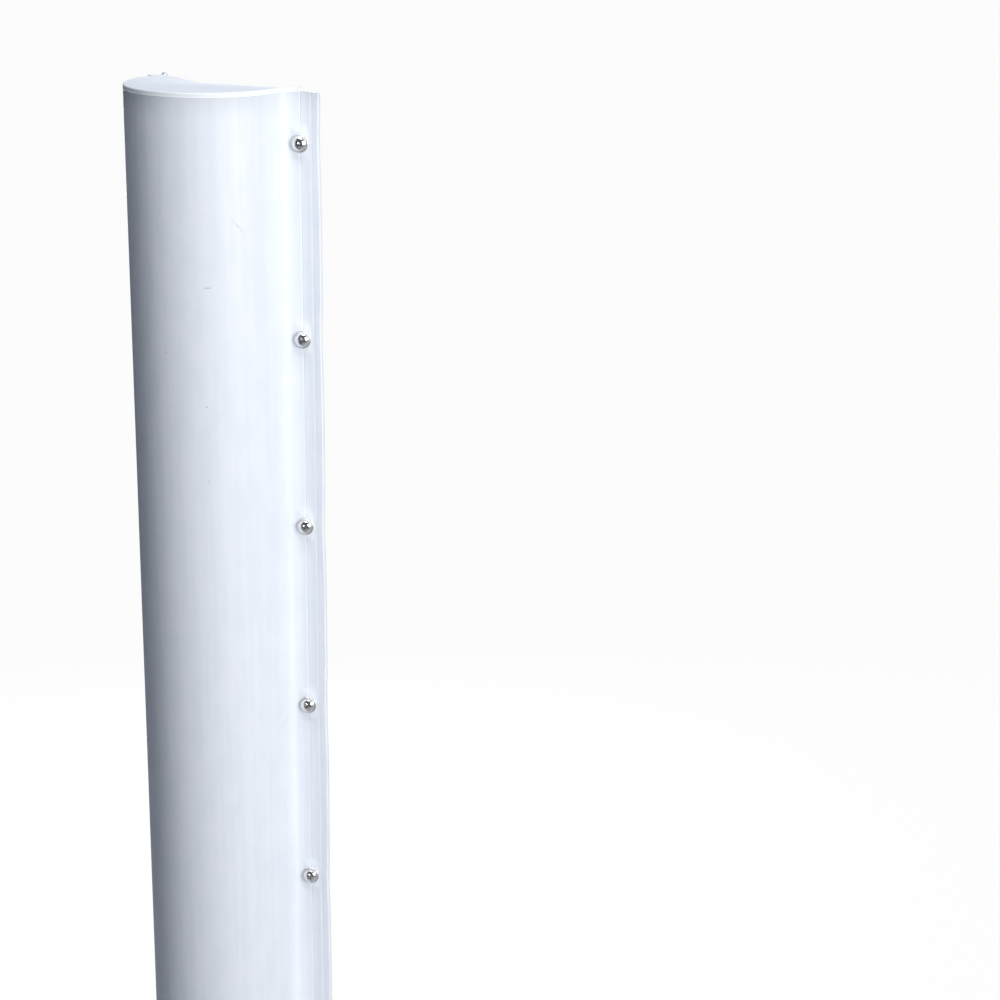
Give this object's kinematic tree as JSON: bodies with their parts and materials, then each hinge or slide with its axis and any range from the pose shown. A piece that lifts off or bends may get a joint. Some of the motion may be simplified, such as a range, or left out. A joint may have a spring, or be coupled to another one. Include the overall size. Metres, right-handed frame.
{
  "type": "piling bumper",
  "caption": "Long white vinyl bumper with a rounded bulge, two screwed side flanges and a flat capped top end, fixed upright to a piling or dock face.",
  "frame": {"origin": "middle of the bottom end of the whole bumper, screws included, 39.6 mm in front of the wall plane", "axes": "+Z along the length, towards the capped end; -Y out of the wall, towards the bulge; +X across the flanges"},
  "size_m": [0.2032, 0.1328, 1.8328],
  "materials": {
    "vinyl": "white marine vinyl, satin, with faint lengthwise die lines",
    "cap_vinyl": "white marine vinyl plate, matt, edge welded to the extrusion",
    "stainless_steel": "polished stainless steel"
  },
  "bodies": {
    "root": {"bumper_extrusion": "vinyl", "end_cap": "cap_vinyl", "right_01_washer": "stainless_steel", "right_01_screw": "stainless_steel", "right_02_washer": "stainless_steel", "right_02_screw": "stainless_steel", "right_03_washer": "stainless_steel", "right_03_screw": "stainless_steel", "right_04_washer": "stainless_steel", "right_04_screw": "stainless_steel", "right_05_washer": "stainless_steel", "right_05_screw": "stainless_steel", "right_06_washer": "stainless_steel", "right_06_screw": "stainless_steel", "right_07_washer": "stainless_steel", "right_07_screw": "stainless_steel", "right_08_washer": "stainless_steel", "right_08_screw": "stainless_steel", "right_09_washer": "stainless_steel", "right_09_screw": "stainless_steel", "right_10_washer": "stainless_steel", "right_10_screw": "stainless_steel", "right_11_washer": "stainless_steel", "right_11_screw": "stainless_steel", "left_01_washer": "stainless_steel", "left_01_screw": "stainless_steel", "left_02_washer": "stainless_steel", "left_02_screw": "stainless_steel", "left_03_washer": "stainless_steel", "left_03_screw": "stainless_steel", "left_04_washer": "stainless_steel", "left_04_screw": "stainless_steel", "left_05_washer": "stainless_steel", "left_05_screw": "stainless_steel", "left_06_washer": "stainless_steel", "left_06_screw": "stainless_steel", "left_07_washer": "stainless_steel", "left_07_screw": "stainless_steel", "left_08_washer": "stainless_steel", "left_08_screw": "stainless_steel", "left_09_washer": "stainless_steel", "left_09_screw": "stainless_steel", "left_10_washer": "stainless_steel", "left_10_screw": "stainless_steel", "left_11_washer": "stainless_steel", "left_11_screw": "stainless_steel"}
  },
  "joints": []
}
